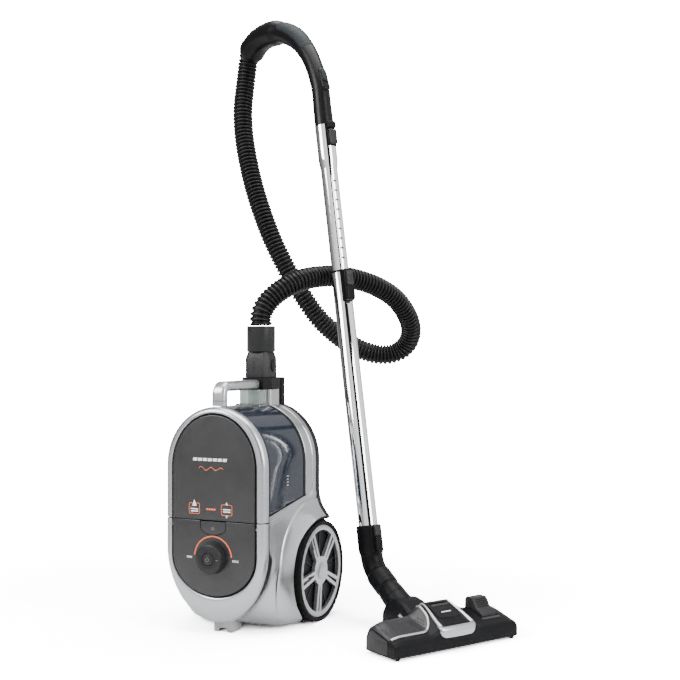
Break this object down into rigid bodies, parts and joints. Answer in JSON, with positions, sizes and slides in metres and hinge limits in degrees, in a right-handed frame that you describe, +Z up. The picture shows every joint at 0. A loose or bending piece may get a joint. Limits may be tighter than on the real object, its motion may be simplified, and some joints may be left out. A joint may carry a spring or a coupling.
{
  "type": "canister vacuum cleaner",
  "caption": "Bagless canister vacuum cleaner in its parking position, with a flexible hose, bent handle, telescopic tube and tilting floor nozzle.",
  "frame": {"origin": "on the floor, under the solid rear end of the parking bracket, in the canister's middle plane", "axes": "+Z up, +X to the right for someone who faces its front panel, -Y out of that panel"},
  "size_m": [0.6689, 0.5596, 1.1565],
  "materials": {
    "silver": "satin metallic paint",
    "panel": "satin charcoal",
    "black": "satin black",
    "gloss_black": "gloss black",
    "dark_grey": "satin dark grey",
    "mid_grey": "satin grey",
    "bracket": "light silver grey",
    "smoke": "smoky transparent",
    "tyre": "matt rubber",
    "rubber": "matt rubber",
    "chrome": "polished",
    "steel": "brushed",
    "foam": "filter foam",
    "board": "circuit board",
    "bristle": "bristle",
    "hose": "corrugated black"
  },
  "bodies": {
    "canister": {"body_shell": "silver", "back_shell": "black", "lower_bezel": "silver", "lower_front_panel": "panel", "parking_bracket": "bracket", "inlet_collar": "black", "inlet_seal": "rubber", "hose_connector": "dark_grey", "motor_housing": "dark_grey", "motor_filter": "foam", "reel_spindle": "steel", "cord_outlet": "dark_grey", "exhaust_filter": "foam", "exhaust_grille": "dark_grey", "control_board": "board", "axle_left": "steel", "axle_right": "steel", "hose_tube": "hose", "handle_grip": "gloss_black", "grip_insert": "mid_grey", "upper_tube": "chrome"},
    "wheel_left": {"tyre_left": "tyre", "wheel_rim_left": "silver", "hub_cap_left": "silver"},
    "wheel_right": {"tyre_right": "tyre", "wheel_rim_right": "silver", "hub_cap_right": "silver"},
    "castor": {"castor_fork": "dark_grey", "castor_pin": "steel"},
    "castor_roller": {"castor_wheel": "rubber"},
    "rotor": {"motor_rotor": "dark_grey"},
    "reel": {"cord_reel": "dark_grey"},
    "knob": {"power_knob": "dark_grey"},
    "power_key": {"power_button": "dark_grey"},
    "release_key": {"release_button": "dark_grey"},
    "container": {"container_tub": "smoke", "container_rim": "silver", "container_panel": "panel", "carry_handle": "silver", "cyclone_cone": "dark_grey", "mesh_filter": "mid_grey", "dust_plate": "black"},
    "connector_key_left": {"connector_button_left": "gloss_black"},
    "connector_key_right": {"connector_button_right": "gloss_black"},
    "air_valve": {"air_slider": "mid_grey"},
    "handle_key": {"handle_latch": "mid_grey"},
    "wand": {"lower_tube": "chrome", "tube_lock": "black", "neck_elbow": "black"},
    "lock_key": {"lock_slider": "mid_grey"},
    "neck_key": {"neck_latch": "mid_grey"},
    "neck": {"nozzle_carriage": "black", "tilt_pin": "steel"},
    "roller_left": {"carriage_wheel_left": "dark_grey"},
    "roller_right": {"carriage_wheel_right": "dark_grey"},
    "nozzle": {"nozzle_shell": "panel", "nozzle_soleplate": "steel", "nozzle_bumper": "silver"},
    "pedal": {"nozzle_pedal": "black"},
    "brush": {"brush_strip": "bristle"}
  },
  "joints": [
    {"name": "wheel_left_spin", "type": "hinge", "parent": "canister", "child": "wheel_left", "pos_m": [-0.11, 0.1106, 0.09], "axis": [1, 0, 0], "continuous": true},
    {"name": "wheel_right_spin", "type": "hinge", "parent": "canister", "child": "wheel_right", "pos_m": [0.11, 0.1106, 0.09], "axis": [1, 0, 0], "continuous": true},
    {"name": "castor_swivel", "type": "hinge", "parent": "canister", "child": "castor", "pos_m": [0, 0.146, 0.33], "axis": [0, 1, 0], "continuous": true},
    {"name": "castor_spin", "type": "hinge", "parent": "castor", "child": "castor_roller", "pos_m": [0, 0.1665, 0.322], "axis": [1, 0, 0], "continuous": true},
    {"name": "rotor_spin", "type": "hinge", "parent": "canister", "child": "rotor", "pos_m": [0, 0.04, 0.115], "axis": [0, 1, 0], "continuous": true},
    {"name": "reel_spin", "type": "hinge", "parent": "canister", "child": "reel", "pos_m": [0, 0.097, 0.115], "axis": [0, 1, 0], "continuous": true},
    {"name": "knob_turn", "type": "hinge", "parent": "canister", "child": "knob", "pos_m": [0, -0.07, 0.134], "axis": [0, -1, 0], "range_deg": [0, 170]},
    {"name": "power_press", "type": "slide", "parent": "knob", "child": "power_key", "axis": [0, 1, 0], "range_m": [0, 0.002], "stiffness_N_per_m": 500},
    {"name": "release_press", "type": "slide", "parent": "canister", "child": "release_key", "axis": [0, 1, 0], "range_m": [0, 0.003], "stiffness_N_per_m": 500},
    {"name": "container_slide", "type": "slide", "parent": "canister", "child": "container", "axis": [0, -1, 0], "range_m": [0, 0.16]},
    {"name": "connector_press_left", "type": "slide", "parent": "canister", "child": "connector_key_left", "axis": [1, 0, 0], "range_m": [0, 0.002], "stiffness_N_per_m": 500},
    {"name": "connector_press_right", "type": "slide", "parent": "canister", "child": "connector_key_right", "axis": [-1, 0, 0], "range_m": [0, 0.002], "stiffness_N_per_m": 500},
    {"name": "air_slide", "type": "slide", "parent": "canister", "child": "air_valve", "axis": [-0.2261, 0.1284, 0.9656], "range_m": [0, 0.012]},
    {"name": "handle_press", "type": "slide", "parent": "canister", "child": "handle_key", "axis": [-0.8545, 0.4855, -0.185], "range_m": [0, 0.0015], "stiffness_N_per_m": 500},
    {"name": "tube_slide", "type": "slide", "parent": "canister", "child": "wand", "axis": [-0.1609, 0.0913, 0.9827], "range_m": [0, 0.16]},
    {"name": "lock_press", "type": "slide", "parent": "wand", "child": "lock_key", "axis": [0.1609, -0.0913, -0.9827], "range_m": [0, 0.004], "stiffness_N_per_m": 500},
    {"name": "neck_press", "type": "slide", "parent": "wand", "child": "neck_key", "axis": [-0.8545, 0.4855, -0.185], "range_m": [0, 0.0015], "stiffness_N_per_m": 500},
    {"name": "neck_swivel", "type": "hinge", "parent": "wand", "child": "neck", "pos_m": [0.24532, 0.11733, 0.068], "axis": [0.7234, -0.411, -0.5547], "range_deg": [-60, 60]},
    {"name": "nozzle_tilt", "type": "hinge", "parent": "neck", "child": "nozzle", "pos_m": [0.33227, 0.06793, 0.03], "axis": [0.494, 0.8695, 0], "range_deg": [-25, 25]},
    {"name": "roller_left_spin", "type": "hinge", "parent": "neck", "child": "roller_left", "pos_m": [0.28901, 0.1254, 0.012], "axis": [0.494, 0.8695, 0], "continuous": true},
    {"name": "roller_right_spin", "type": "hinge", "parent": "neck", "child": "roller_right", "pos_m": [0.26075, 0.07566, 0.012], "axis": [0.494, 0.8695, 0], "continuous": true},
    {"name": "pedal_rock", "type": "hinge", "parent": "nozzle", "child": "pedal", "pos_m": [0.41063, 0.12692, 0.04], "axis": [0.494, 0.8695, 0], "range_deg": [0, 8]},
    {"name": "brush_lift", "type": "slide", "parent": "nozzle", "child": "brush", "axis": [0, 0, 1], "range_m": [0, 0.005]}
  ],
  "couplings": [
    {"joint": "brush_lift", "follows": "pedal_rock", "m_per_rad": 0.0355}
  ]
}
